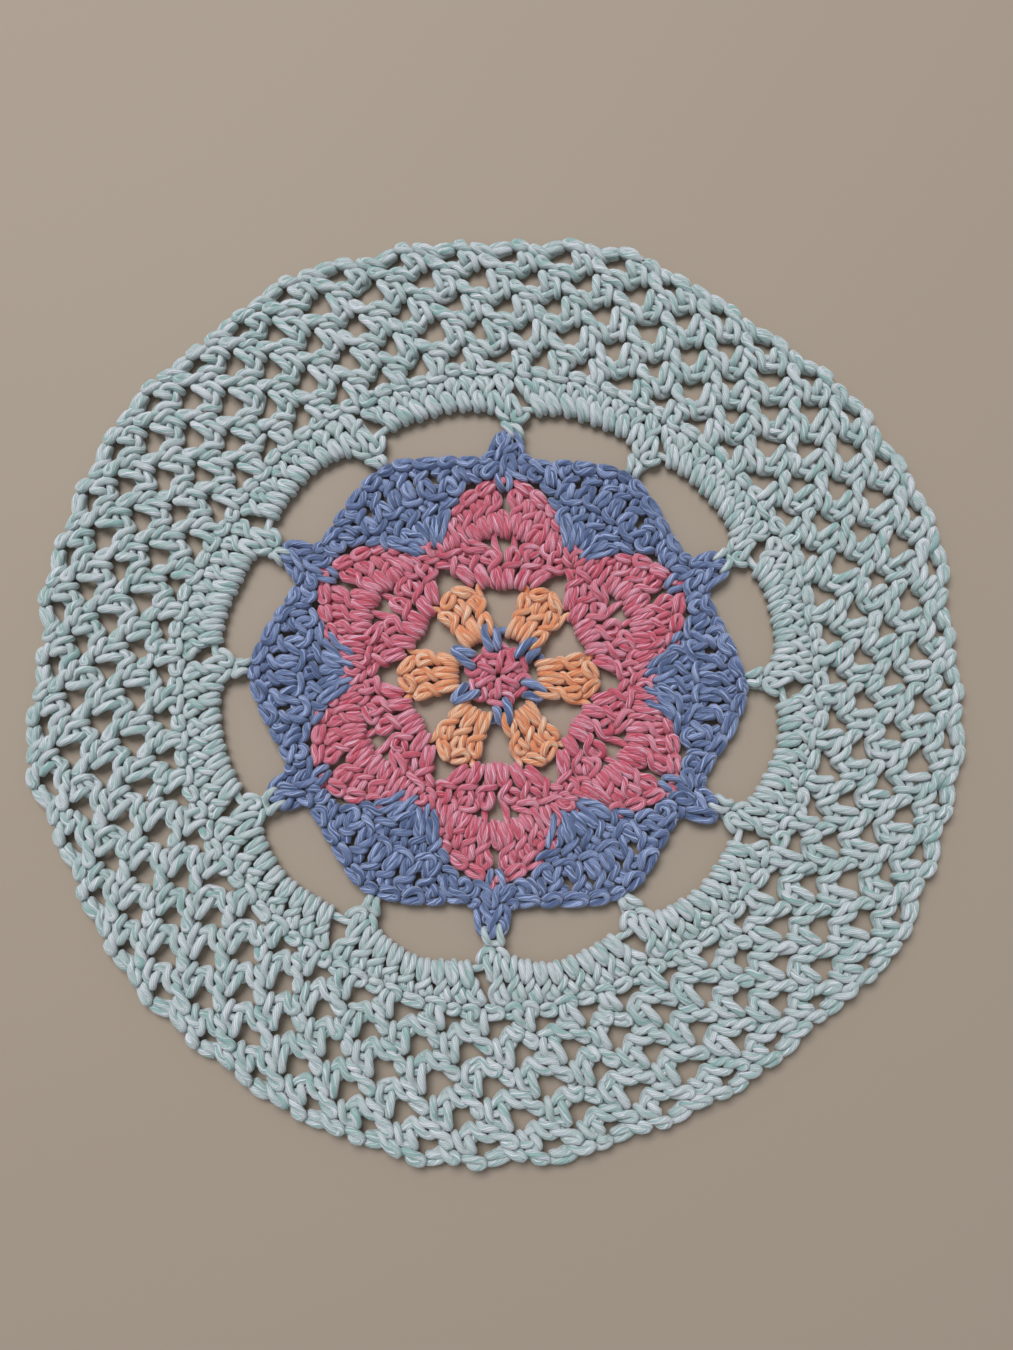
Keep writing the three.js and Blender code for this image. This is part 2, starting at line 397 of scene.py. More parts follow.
rows = []
for turn in reversed(PETALS):
    rows += [petal_stitch(turn, 1, *stitch) for stitch in INNER]
    rows.append(("run", None, of_petal(turn, EYE_SIDE, EYE_TOP), None))
    rows.append(petal_stitch(turn, 1, *OVER_EYE))
    rows.append(("run", None, of_petal(turn, -EYE_SIDE, EYE_TOP), None))
    rows += [petal_stitch(turn, -1, *stitch) for stitch in reversed(INNER)]
work_round(petals, rows, tall={"narrow": 1.35})

# %% [markdown]
# ## The petals' second round
# Low stitches at the petals' sides and ever taller ones towards the tip give the petal its point. A
# chain at the tip joins the two halves over a small hole.

# %% The petals' second round
OUTER = [  # kind, foot, head, knee
    ("short", (13.0, 23.2), (13.3, 25.3), None),
    ("short", (10.6, 24.4), (11.9, 28.0), None),
    ("short", (7.9, 25.3), (10.3, 30.6), None),
    ("tall", (5.0, 26.4), (8.4, 33.0), (7.0, 29.2)),
    ("tall", (3.4, 27.3), (5.2, 35.3), (4.7, 31.2)),
    ("tall", (1.8, 28.0), (1.9, 37.9), (2.3, 32.4)),
]
PETAL_TIP = 39.5

rows = []
for turn in reversed(PETALS):
    rows += [petal_stitch(turn, 1, *stitch) for stitch in OUTER]
    rows.append(("chain", None, of_petal(turn, 0.0, PETAL_TIP), None))
    rows += [petal_stitch(turn, -1, *stitch) for stitch in reversed(OUTER)]
work_round(petals, rows, tall={"joint": 0.42})

# %% [markdown]
# ## The blue fans
# In each valley five tall stitches are worked in one place and open as a fan. Chains carry the
# round past the petal's side, and a short stitch holds it over the petal's tip.

# %% The blue fans
border = Yarn("yarn_border_blue", 0.68, 0.96)
FAN = 13.0
FAN_FOOT, FAN_KNEE, FAN_HEAD = 28.6, 33.2, 37.8
FAN_ROUNDED = 1.2
FOOT_SPREAD, KNEE_SPREAD = 0.22, 0.85
OVER_TIP_FOOT, OVER_TIP_HEAD = 37.2, 40.4
PAST_PETAL = [(24, 39.8), (19, 39.6)]
ROUND_THE_FLOWER = [(VALLEYS[k], PETALS[(k + 1) % 6]) for k in reversed(range(6))]

rows = []
for valley, before in ROUND_THE_FLOWER:
    rows.append(("short", at(before, OVER_TIP_FOOT), at(before, OVER_TIP_HEAD), None))
    for side, radius in PAST_PETAL:
        rows.append(("chain", None, at(valley + side, radius), None))
    for share in (1.0, 0.5, 0.0, -0.5, -1.0):
        side = share * FAN
        head = at(valley + side, FAN_HEAD - FAN_ROUNDED * share * share)
        foot = at(valley + side * FOOT_SPREAD, FAN_FOOT)
        rows.append(("tall", foot, head, at(valley + side * KNEE_SPREAD, FAN_KNEE)))
    for side, radius in reversed(PAST_PETAL):
        rows.append(("chain", None, at(valley - side, radius), None))
work_round(border, rows, tall={"narrow": 1.3})

# %% [markdown]
# ## The blue braid and its posts
# The last blue round is a braid of heads around the whole flower. It lies nearer the middle at the
# petals and further out over the fans. Over each petal's tip a tall stitch stands up as a short
# post, which carries the mint ring.

# %% The blue braid and its posts
POST_SIDE, POST_SIDE_RADIUS = 2.3, 42.2
POST_FOOT, POST_HEAD = 39.8, 47.6
BRAID = [  # kind, turn beside the valley, radius of foot and head
    ("short", 24.0, 39.6, 41.0),
    ("short", 18.0, 39.2, 41.6),
    ("tall", 13.0, 37.0, 42.6),
    ("tall", 7.0, 37.6, 44.0),
    ("tall", 1.8, 38.0, 45.2),
]

rows = []
for valley, before in ROUND_THE_FLOWER:
    rows.append(("chain", None, of_petal(before, POST_SIDE, POST_SIDE_RADIUS), None))
    rows.append(("tall", at(before, POST_FOOT), at(before, POST_HEAD), None))
    rows.append(("chain", None, of_petal(before, -POST_SIDE, POST_SIDE_RADIUS), None))
    for kind, side, foot, head in BRAID:
        rows.append((kind, at(valley + side, foot), at(valley + side, head), None))
    for kind, side, foot, head in reversed(BRAID):
        rows.append((kind, at(valley - side, foot), at(valley - side, head), None))
work_round(border, rows, tall={"narrow": 1.15})

# %% [markdown]
# ## The ring's uneven outer edge
# The mint ring is worked loosely, and its edge wavers by two or three millimetres. A short table of
# turns and radii keeps that, with a smooth curve from one entry to the next. Rounds further in
# follow the edge less and less.

# %% The ring's uneven outer edge
EDGE = [
    (0, 88.4), (18, 90.0), (27, 87.8), (36, 86.8), (52, 89.0), (70, 89.1), (84, 87.0), (104, 87.6),
    (122, 88.0), (145, 85.6), (163, 86.2), (182, 87.8), (200, 87.1), (215, 86.2), (232, 87.4),
    (245, 86.8), (256, 89.0), (274, 87.0), (290, 89.4), (308, 90.4), (316, 89.2), (330, 91.2),
    (345, 89.4), (360, 88.4),
]
MEAN_EDGE = 87.9
ARCH_HEADS = 60.6


def edge_radius(turn):
    """The radius of the outer edge at a turn."""
    turn = turn % 360
    for (a, ra), (b, rb) in zip(EDGE, EDGE[1:]):
        if a <= turn <= b:
            share = (1 - math.cos(math.pi * (turn - a) / (b - a))) / 2
            return ra + (rb - ra) * share


def in_ring(turn, radius):
    """A point of the ring, drawn in or out as unevenly as its edge is."""
    share = min(1.0, max(0.0, (radius - ARCH_HEADS) / (MEAN_EDGE - ARCH_HEADS)))
    return at(turn, radius * (1 + share * (edge_radius(turn) / MEAN_EDGE - 1)))


radii = [radius for turn, radius in EDGE]
print("the edge wavers between radii, mm:", min(radii), max(radii))

# %% [markdown]
# ## The arches
# Twelve joints carry the ring: the six posts and the tops of the six fans. From joint to joint goes
# a chain arch, which is almost square. It is hidden under the stitches worked over it, so only its
# first and last chain are drawn as chains.

# %% The arches
JOINTS = [3, 33, 63, 91, 121, 151, 181, 209, 241, 272, 300, 331]
ARCH_CHAINS = 12
ARCH_SQUARE = 3
TAB_RADIUS = 51.6
ARCH_RADIUS = 54.0
JOINT_FOOT, JOINT_HEAD = 47.0, 50.2


def joint_before(k):
    """The turn of the joint that the work comes to next, going to the left."""
    return JOINTS[k - 1] - (360 if k == 0 else 0)


def arch_point(turn, following, share):
    """A point of the arch between two joints, at a share of the way."""
    fullness = 1 - abs(2 * share - 1) ** ARCH_SQUARE
    radius = TAB_RADIUS + (ARCH_RADIUS - TAB_RADIUS) * fullness
    return at(turn + (following - turn) * share, radius)


arches = Yarn("yarn_ring_mint_arches", 0.64, 0.80)
rows = []
for k in reversed(range(12)):
    turn, before = JOINTS[k], joint_before(k)
    rows.append(("short", at(turn, JOINT_FOOT), at(turn, JOINT_HEAD), None))
    for i in range(1, ARCH_CHAINS):
        kind = "chain" if i in (1, ARCH_CHAINS - 1) else "run"
        rows.append((kind, None, arch_point(turn, before, i / ARCH_CHAINS), None))
work_round(arches, rows)

# %% [markdown]
# ## The close round on the arches
# Eight tall stitches stand on each arch and one on each joint. Their feet crowd towards the middle
# of the arch, and their heads are spaced evenly, because the mesh is worked into them.

# %% The close round on the arches
ARCH_STITCHES = 8
STITCH_SPACE = 0.098
CROWDED = -0.045
ON_JOINT = 51.4
HEADS = 12 * (ARCH_STITCHES + 1)

rows = []
for k in reversed(range(12)):
    turn, before = JOINTS[k], joint_before(k)
    grid = k * 30
    rows.append(("tall", at(turn, ON_JOINT), in_ring(grid, ARCH_HEADS), None))
    for i in range(1, ARCH_STITCHES + 1):
        share = 0.5 + CROWDED + (i - (ARCH_STITCHES + 1) / 2) * STITCH_SPACE
        head = in_ring(grid - i * 360 / HEADS, ARCH_HEADS)
        rows.append(("tall", arch_point(turn, before, share), head, None))
work_round(arches, rows, tall={"joint": 0.42}, wide=0.75)

# %% [markdown]
# ## The mesh
# The mesh is one short stitch and two chains, over and over, each round moved on by half a gap. The
# short stitch shows as two parallel strands, pulled askew by the chains. One table holds the whole
# group, and every round repeats it forty-eight times. The last round reaches out less far, because
# nothing is worked into it.

# %% The mesh
MESH = 48
APEX = [60.3, 66.15, 71.6, 77.05, 82.5]
HALF_ROUND = 3.0
UNIT = 8.6
EDGE_REACH = 0.62
SPACE = [  # a short stitch, its head, a chain and a chain: across, outwards, up
    (1.1, 3.1, 0.75), (0.8, 1.8, 0.72), (0.74, 0.2, 0.78), (0.74, -0.55, 1.2), (0.72, -0.3, 2.0),
    (0.70, 0.6, 2.45), (0.78, 1.8, 2.5), (0.74, 2.8, 2.15), (0.6, 3.6, 1.5), (0.0, 4.4, 1.15),
    (-0.9, 5.1, 1.3), (-1.6, 4.8, 1.9), (-1.7, 4.0, 2.35), (-1.35, 2.8, 2.6), (-1.0, 1.4, 2.6),
    (-0.74, 0.3, 2.3), (-0.66, -0.6, 1.6), (-0.6, -0.4, 0.9), (-0.55, 0.8, 0.75), (-0.4, 2.4, 0.72),
    (-0.2, 3.8, 0.78),
    (0.0, 4.7, 1.2), (0.15, 5.6, 1.9), (-0.9, 6.5, 2.2), (-2.1, 7.3, 2.0), (-2.9, 7.6, 1.5),
    (-3.4, 7.0, 1.3), (-2.8, 6.4, 1.6), (-1.6, 5.8, 2.1), (-0.5, 5.0, 2.35), (0.4, 4.4, 2.0),
    (0.4, 4.3, 1.3), (-0.3, 4.8, 0.85), (-1.5, 5.8, 0.75), (-2.6, 6.8, 0.85),
    (-3.0, 7.1, 1.3), (-3.5, 7.4, 1.8), (-4.4, 7.1, 1.75), (-5.6, 6.0, 1.5), (-6.4, 5.0, 1.35),
    (-6.6, 4.1, 1.3), (-5.9, 4.2, 1.5), (-4.9, 5.1, 1.65), (-3.8, 6.0, 1.95), (-3.1, 6.5, 1.6),
    (-2.8, 6.7, 0.95), (-3.9, 6.2, 0.75), (-5.2, 4.9, 0.75),
    (-5.6, 3.6, 1.4), (-5.4, 4.3, 2.05), (-6.0, 5.2, 2.35), (-7.1, 5.7, 2.3), (-8.3, 5.6, 1.8),
    (-9.3, 5.0, 1.35), (-8.9, 4.2, 1.45), (-8.1, 4.35, 1.95), (-7.1, 4.3, 2.15), (-6.4, 3.8, 1.9),
    (-6.1, 3.1, 1.35), (-6.5, 3.2, 0.85),
]

mesh_yarns = []
for k, apex in enumerate(APEX):
    yarn = Yarn(f"yarn_ring_mint_mesh_{k + 1}", 0.68, 0.89)
    middle = apex + HALF_ROUND
    scale = math.radians(360 / MESH) * middle / UNIT
    for i in reversed(range(MESH)):
        turn = (i + (0.5 if k % 2 == 0 else 0.0)) * 360 / MESH
        for x, y, z in SPACE:
            up = y * EDGE_REACH if apex == APEX[-1] and y > 0 else y
            yarn.put(in_ring(turn + math.degrees(x * scale / middle), apex + up), z)
    mesh_yarns.append(yarn)
print("rounds of mesh:", len(mesh_yarns), "with", MESH, "gaps each")

# %% [markdown]
# ## From course to smooth curve
# A course has few points, just enough to say where the yarn goes. A Catmull-Rom curve goes through
# every one of them without overshooting in tight loops, as long as its steps follow the root of the
# distance. The curve is then cut into points at even steps.

# %% Smooth curves through the courses
FINE = 0.25
SAME_PLACE = 0.05
BETWEEN_POINTS = 8


def evenly(p, step):
    """The same closed curve, with points at even steps."""
    closed = np.vstack([p, p[:1]])
    run = np.r_[0, np.cumsum(np.linalg.norm(np.diff(closed, axis=0), axis=1))]
    n = int(round(run[-1] / step))
    want = np.arange(n) * run[-1] / n
    return np.stack([np.interp(want, run, closed[:, c]) for c in range(3)], 1)


def eased(p, times):
    """Each point drawn towards its neighbours, a number of times."""
    for unused in range(times):
        p = (np.roll(p, 1, 0) + 2 * p + np.roll(p, -1, 0)) / 4
    return p


def drawn(course):
    """A smooth curve through the course, as evenly spaced points."""
    p = np.array(course, float)
    keep = np.r_[True, np.linalg.norm(np.diff(p, axis=0), axis=1) > SAME_PLACE]
    p = p[keep]
    p = np.vstack([p[-1], p, p[0], p[1]])
    t = np.r_[0, np.cumsum(np.sqrt(np.linalg.norm(np.diff(p, axis=0), axis=1)))]
    dt = np.diff(t)[:, None]
    slope = np.diff(p, axis=0) / dt
    tangent = (slope[:-1] * dt[1:] + slope[1:] * dt[:-1]) / (dt[:-1] + dt[1:])
    s = (np.arange(BETWEEN_POINTS) / BETWEEN_POINTS)[None, :, None]
    a, b, h = p[1:-2][:, None], p[2:-1][:, None], dt[1:-1][:, None]
    ta, tb = tangent[:-1][:, None], tangent[1:][:, None]
    out = (
        (2 * s**3 - 3 * s**2 + 1) * a + (s**3 - 2 * s**2 + s) * h * ta
        + (-2 * s**3 + 3 * s**2) * b + (s**3 - s**2) * h * tb
    )
    return evenly(out.reshape(-1, 3), FINE)


print("the petals' plan, points:", len(drawn(petals.course)))

# %% [markdown]
# ## Handwork is never even
# Loops are drawn a little tighter or looser, so the rows waver. A few long waves with random
# directions and starts move every point of the plan a little, more in the loose mesh than in the
# close flower. The seed is fixed, so that the same unevenness comes back each time.

# %% Unevenness
UNEVEN_FLOWER, FLOWER_ENDS = 0.06, 40.0
UNEVEN_MESH, MESH_BEGINS = 0.20, 60.0
SHORTEST_WAVE, LONGEST_WAVE = 9.0, 36.0
WAVE_COUNT = 14
SEED = 11

random = np.random.default_rng(SEED)
waves = []
for unused in range(WAVE_COUNT):
    length = random.uniform(SHORTEST_WAVE, LONGEST_WAVE)
    heading = random.uniform(0, math.tau)
    pointing = random.uniform(0, math.tau)
    start = random.uniform(0, math.tau)
    waves.append((length, heading, pointing, start))


def uneven(p):
    """Points of a plan, moved by the waves."""
    out = p.copy()
    radius = np.hypot(p[:, 0], p[:, 1])
    strength = np.interp(radius, [FLOWER_ENDS, MESH_BEGINS], [UNEVEN_FLOWER, UNEVEN_MESH])
    for length, heading, pointing, start in waves:
        along = p[:, 0] * math.cos(heading) + p[:, 1] * math.sin(heading)
        swing = strength * np.sin(along * math.tau / length + start)
        out[:, 0] += math.cos(pointing) * swing
        out[:, 1] += math.sin(pointing) * swing
    return out


print("waves, mm long:", [round(wave[0]) for wave in waves])

# %% [markdown]
# ## Finding the neighbours
# A course is only a plan, and yarns drawn from it run into each other here and there. To part them,
# one has to know which points are close. Comparing every point with every other would be slow, so
# they are sorted into square cells, and only points in the same or the next cell are compared.

# %% Pairs of points that lie close
KEPT_FROM_SELF = 4
CELLS_A_ROW = 8192


def near_pairs(p, order, reach):
    """Pairs of points within reach of each other, but not next to each other on a yarn."""
    cell = np.floor(p[:, :2] / reach).astype(np.int64) + CELLS_A_ROW // 2
    key = cell[:, 0] * CELLS_A_ROW + cell[:, 1]
    rank = np.argsort(key, kind="stable")
    sorted_key = key[rank]
    firsts, seconds = [], []
    for across, up in ((0, 0), (1, 0), (0, 1), (1, 1), (1, -1)):
        want = sorted_key + across * CELLS_A_ROW + up
        begin = np.searchsorted(sorted_key, want, "left")
        end = np.searchsorted(sorted_key, want, "right")
        if across == 0 and up == 0:
            begin = np.arange(len(rank)) + 1
        count = np.maximum(end - begin, 0)
        first = np.repeat(np.arange(len(rank)), count)
        step = np.arange(len(first)) - np.repeat(np.cumsum(count) - count, count)
        firsts.append(rank[first])
        seconds.append(rank[np.repeat(begin, count) + step])
    i, j = np.concatenate(firsts), np.concatenate(seconds)
    yarn, place, size = order
    apart = np.abs(place[i] - place[j])
    apart = np.minimum(apart, size[i] - apart)
    keep = (yarn[i] != yarn[j]) | (apart > KEPT_FROM_SELF)
    i, j = i[keep], j[keep]
    gap = p[j] - p[i]
    near = (gap * gap).sum(1) < reach * reach
    return i[near], j[near]


print("points up to", KEPT_FROM_SELF, "places apart on a yarn are never a pair")

# %% [markdown]
# ## Yarns that push each other apart
# On the hook the yarns would push each other aside. Here the points of all the yarns do so, a
# little at a time, while every yarn keeps its length, bends softly, stays on the floor and is held
# near its place. Blender's own cloth could be tried too, but a plain loop over the points shows
# each rule and takes only a few seconds.

# %% One push, and keeping the length
PUSH = 0.35
MOST_MOVE = 0.2
LENGTH_PASSES = 3
LENGTH_PULL = 0.35
TINY = 1e-6


def pushed(p, i, j, contact):
    """How far each point is moved by the yarns that press on it."""
    gap = p[j] - p[i]
    far = np.linalg.norm(gap, axis=1) + TINY
    push = np.maximum(contact - far, 0.0) * PUSH
    way = gap / far[:, None] * push[:, None]
    move = np.stack([
        np.bincount(j, way[:, c], len(p)) - np.bincount(i, way[:, c], len(p)) for c in range(3)
    ], 1)
    return np.clip(move, -MOST_MOVE, MOST_MOVE)


def at_length(p, before, after, rest):
    """The points, with their distances along the yarn drawn back to what they were."""
    for unused in range(LENGTH_PASSES):
        ahead = p[after] - p
        length = np.linalg.norm(ahead, axis=1) + TINY
        pull = ahead * (LENGTH_PULL * (length - rest) / length)[:, None]
        p = p + pull - pull[before]
    return p


print("a point moves at most", MOST_MOVE, "mm at a time")

# %% [markdown]
# Once the yarns lie still, the nearest other yarn beside each point and above or below it is
# measured. That decides later how much the strand is pressed there.

# %% Settling all the yarns
HOLD = 0.06
STIFF = 0.12
LOWEST = 0.72
PRESSED_DOWN = 0.4
LOOK_AGAIN = 6
MARGIN = 0.5
FELT = 2.4
STEEP = 0.7


def nearest_yarns(p, order):
    """The distance to the next yarn beside each point, and above or below it."""
    i, j = near_pairs(p, order, FELT)
    gap = p[j] - p[i]
    far = np.linalg.norm(gap, axis=1)
    upright = np.abs(gap[:, 2]) > STEEP * far
    print("closest yarns, mm, 1 in 100 and 1 in 10:", np.percentile(far, [1, 10]).round(2))
    beside, above = np.full(len(p), FELT), np.full(len(p), FELT)
    for chosen, nearest in ((~upright, beside), (upright, above)):
        np.minimum.at(nearest, i[chosen], far[chosen])
        np.minimum.at(nearest, j[chosen], far[chosen])
    return beside, above


def settle(curves, radii, tops, rounds):
    """All the yarns' points after they have pushed each other apart."""
    sizes = [len(curve) for curve in curves]
    starts = np.cumsum([0] + sizes[:-1])
    p = np.vstack(curves)
    radius, top = np.repeat(radii, sizes), np.repeat(tops, sizes)
    yarn = np.repeat(np.arange(len(curves)), sizes)
    place = np.arange(len(p)) - starts[yarn]
    size = np.array(sizes)[yarn]
    order = (yarn, place, size)
    after = starts[yarn] + (place + 1) % size
    before = starts[yarn] + (place - 1) % size
    plan = p.copy()
    rest = np.linalg.norm(p[after] - p, axis=1)
    for turn in range(rounds):
        if turn % LOOK_AGAIN == 0:
            i, j = near_pairs(p, order, 2 * max(radii) + MARGIN)
            contact = radius[i] + radius[j]
        move = pushed(p, i, j, contact)
        move = (move[before] + 2 * move + move[after]) / 4
        p = p + move + HOLD * (plan - p)
        p = p + STIFF * (p[before] + p[after] - 2 * p)
        p = at_length(p, before, after, rest)
        p[:, 2] = np.clip(p[:, 2], LOWEST, None)
        p[:, 2] -= PRESSED_DOWN * np.maximum(p[:, 2] - top, 0.0)
    beside, above = nearest_yarns(p, order)
    return [(p[s:s + n], beside[s:s + n], above[s:s + n]) for s, n in zip(starts, sizes)]


# %% [markdown]
# ## From curve to tube
# Cotton is soft: where a yarn runs free it is full and round, and where another yarn presses on it,
# it gives way on that side. So every ring of the tube has its own width and height, taken from how
# near the next yarn is. Rings are close together where the yarn turns, and further apart on straight
# runs and on the underside, so that the triangles go where they are seen.

# %% Where the rings go
SIDES = 8
BEND_STEP = 0.62
BEND_SOFT = 0.35
CLOSEST_RINGS = 0.5
FURTHEST_RINGS = 1.15
UNDERSIDE = 1.0
COARSER_BELOW = 1.35


def smoothed(p):
    """A chain of points as a smooth curve, with two points between each two."""
    a, b, c, d = np.roll(p, 1, 0), p, np.roll(p, -1, 0), np.roll(p, -2, 0)
    parts = []
    for t in (0.0, 1 / 3, 2 / 3):
        parts.append(0.5 * (2 * b + (c - a) * t + (2 * a - 5 * b + 4 * c - d) * t**2
                            + (3 * b - a - 3 * c + d) * t**3))
    return np.stack(parts, 1).reshape(-1, *p.shape[1:])


def ring_places(p, wide, high):
    """The rings' middles, widths and heights, and how far along the yarn each is."""
    ahead = np.roll(p, -1, 0) - p
    length = np.linalg.norm(ahead, axis=1)
    way = ahead / length[:, None]
    bend = np.linalg.norm(way - np.roll(way, 1, 0), axis=1) / length
    bend = (bend + np.roll(bend, 1) + np.roll(bend, -1)) / 3
    step = np.clip(BEND_STEP / (bend + BEND_SOFT), CLOSEST_RINGS, FURTHEST_RINGS)
    step = np.where(p[:, 2] < UNDERSIDE, step * COARSER_BELOW, step)
    count = np.cumsum(length / step)
    n = int(count[-1])
    want = (np.arange(n) + 0.5) * count[-1] / n
    at_count = np.r_[0, count]
    run = np.r_[0, np.cumsum(length)]
    rings = []
    for values in (p[:, 0], p[:, 1], p[:, 2], wide, high):
        rings.append(np.interp(want, at_count, np.r_[values, values[0]]))
    return np.stack(rings[:3], 1), rings[3], rings[4], np.interp(want, at_count, run)


print("a ring has", SIDES, "sides, and rings are", CLOSEST_RINGS, "mm apart or more")

# %% [markdown]
# A tube needs a direction at each ring that doesn't spin, or it would look wrung. Each ring takes
# the direction of the ring before, made square to its own way. The last ring of the closed yarn is
# joined to the first with the few steps of turn that are left.

# %% The skin of a tube
FLOOR_GAP = 0.02


def frame_along(points):
    """At each ring: the way the yarn goes, and two directions square to it."""
    n = len(points)
    way = np.roll(points, -1, 0) - np.roll(points, 1, 0)
    way /= np.linalg.norm(way, axis=1)[:, None]
    side = np.zeros((n, 3))
    last = np.cross(way[0], [0, 0, 1.0])
    last /= np.linalg.norm(last)
    for i in range(n):
        last = last - way[i] * last.dot(way[i])
        last /= math.sqrt(last.dot(last))
        side[i] = last
    return way, side, np.cross(way, side)


def skin(points, wide, high, side, other):
    """The points around each ring, wide to the sides and high upwards, all above the floor."""
    angle = 2 * np.pi * np.arange(SIDES) / SIDES
    cosine, sine = np.cos(angle)[None, :, None], np.sin(angle)[None, :, None]
    out = cosine * side[:, None, :] + sine * other[:, None, :]
    level = (out[..., 0] ** 2 + out[..., 1] ** 2) / wide[:, None] ** 2
    thick = 1 / np.sqrt(level + out[..., 2] ** 2 / high[:, None] ** 2)
    xyz = (points[:, None, :] + thick[..., None] * out).reshape(-1, 3)
    xyz[:, 2] = np.maximum(xyz[:, 2], FLOOR_GAP)
    xyz[:, :2] += MIDDLE
    return xyz


def faces(n, shift):
    """Four-sided faces from ring to ring, the last ring joined to the first with a shift."""
    here = np.arange(n)[:, None] * SIDES
    there = np.roll(np.arange(n), -1)[:, None] * SIDES
    j = np.arange(SIDES)[None, :]
    following = (j + 1) % SIDES
    is_last = (np.arange(n) == n - 1)[:, None]
    joined = np.where(is_last, (j + shift) % SIDES, j)
    joined_following = np.where(is_last, (following + shift) % SIDES, following)
    corners = [here + j, there + joined, there + joined_following, here + following]
    return np.stack(corners, -1).reshape(-1, 4)


print("faces in a ring of three:", len(faces(3, 0)))

# %% [markdown]
# The map coordinates run along the yarn, in millimetres, and round it, in turns. The twist of the
# plies follows both, so the material needs nothing else to know where it is on the yarn.

# %% From a settled yarn to a tube
PINCHED = 0.9
GIVE = 0.06


def map_places(run, total):
    """Map coordinates for the four corners of each face: mm along, turns round."""
    n = len(run)
    u0 = np.repeat(run, SIDES).reshape(n, SIDES)
    u1 = np.roll(u0, -1, 0).copy()
    u1[-1] = total
    v0 = np.tile(np.arange(SIDES) / SIDES, (n, 1))
    v1 = v0 + 1 / SIDES
    corners = [(u0, v0), (u1, v0), (u1, v1), (u0, v1)]
    return np.stack([np.stack(corner, -1) for corner in corners], 2).reshape(-1, 2)


def strand(yarn, settled):
    """The tube of one yarn: its points, its faces, its map coordinates and its length."""
    p, beside, above = settled
    least = yarn.pressed * PINCHED
    wide = eased(np.clip(beside / 2 + GIVE, least, yarn.full)[:, None], 1)
    high = eased(np.clip(above / 2 + GIVE, least, yarn.full)[:, None], 1)
    p, wide, high = smoothed(eased(p, 1)), smoothed(wide)[:, 0], smoothed(high)[:, 0]
    points, wide, high, run = ring_places(p, wide, high)
    way, side, other = frame_along(points)
    end = side[-1] - way[0] * side[-1].dot(way[0])
    slip = math.atan2(end.dot(other[0]), end.dot(side[0]))
    shift = int(round(slip / (2 * np.pi / SIDES)))
    total = float(np.linalg.norm(np.roll(points, -1, 0) - points, axis=1).sum())
    return skin(points, wide, high, side, other), faces(len(points), shift), map_places(run, total), total


def piece_of(name, strands):
    """One object from one or more tubes."""
    before = np.cumsum([0] + [len(xyz) for xyz, quads, uv, total in strands])
    xyz = np.vstack([part[0] for part in strands])
    quads = np.vstack([part[1] + first for part, first in zip(strands, before)])
    uv = np.vstack([part[2] for part in strands])
    mesh = bpy.data.meshes.new(name)
    mesh.vertices.add(len(xyz))
    mesh.vertices.foreach_set("co", (xyz * MM).ravel())
    mesh.loops.add(quads.size)
    mesh.loops.foreach_set("vertex_index", quads.ravel())
    mesh.polygons.add(len(quads))
    mesh.polygons.foreach_set("loop_start", np.arange(0, quads.size, 4))
    mesh.polygons.foreach_set("use_smooth", np.ones(len(quads), bool))
    mesh.update(calc_edges=True)
    layer = mesh.uv_layers.new(name="along_and_round")
    layer.uv.foreach_set("vector", uv.astype(np.float32).ravel())
    mesh.validate()
    piece = linked(name, mesh)
    metres = round(sum(part[3] for part in strands) / 1000, 2)
    print(name, "yarn, m:", metres, "triangles:", 2 * len(quads))
    return piece


# %% [markdown]
# ## Cotton
# Each yarn is several fine plies with a soft twist. On the map coordinates a ply is a slanted
# stripe: rounded in height, with painted shade in the groove beside it, and each with its own
# slight tint. A picture of yarn would repeat and blur close up, so it is all worked out by the
# material's nodes.

# %% A few short names for material nodes


class Paint:
    """A new material, and short ways to add the nodes that are used here."""

    def __init__(self, name):
        self.material = bpy.data.materials.new(name)
        self.material.use_nodes = True
        self.tree = self.material.node_tree
        self.tree.nodes.clear()

    def node(self, kind, **settings):
        made = self.tree.nodes.new("ShaderNode" + kind)
        for key, value in settings.items():
            setattr(made, key, value)
        return made

    def feed(self, value, socket):
        """Gives a socket a number or another node's output."""
        if isinstance(value, (int, float)):
            socket.default_value = value
        else:
            self.tree.links.new(value, socket)

    def maths(self, operation, *values):
        made = self.node("Math", operation=operation)
        for value, socket in zip(values, made.inputs):
            self.feed(value, socket)
        return made.outputs[0]

    def noise(self, x, y, z, detail=2.0):
        place = self.node("CombineXYZ")
        for value, socket in zip((x, y, z), place.inputs):
            self.feed(value, socket)
        made = self.node("TexNoise")
        made.inputs["Scale"].default_value = 1.0
        made.inputs["Detail"].default_value = detail
        self.feed(place.outputs[0], made.inputs["Vector"])
        return made.outputs["Fac"]

    def between(self, value, low, high, to_low, to_high):
        made = self.node("MapRange")
        for number, socket in zip((low, high, to_low, to_high), list(made.inputs)[1:5]):
            socket.default_value = number
        self.feed(value, made.inputs[0])
        return made.outputs[0]


# %% [markdown]
# Where a point lies on its ply gives the height of the rounded ply. Three noises, stretched along
# the plies, give the fibres, the finest fibres and the marl, which is one shade for a long stretch
# of a ply. One more noise lets the plies stray a little.

# %% Plies and fibres
PLIES = 12
TWIST = 11.0
STRAY_RATE = 0.4
STRAY = 0.09
PLY_ROUNDNESS = 0.6
FIBRES_ACROSS, FIBRES_ALONG = 4.0, 0.9
FINEST_ACROSS, FINEST_ALONG = 11.0, 2.5
MARL_ACROSS, MARL_ALONG = 5.7, 0.09


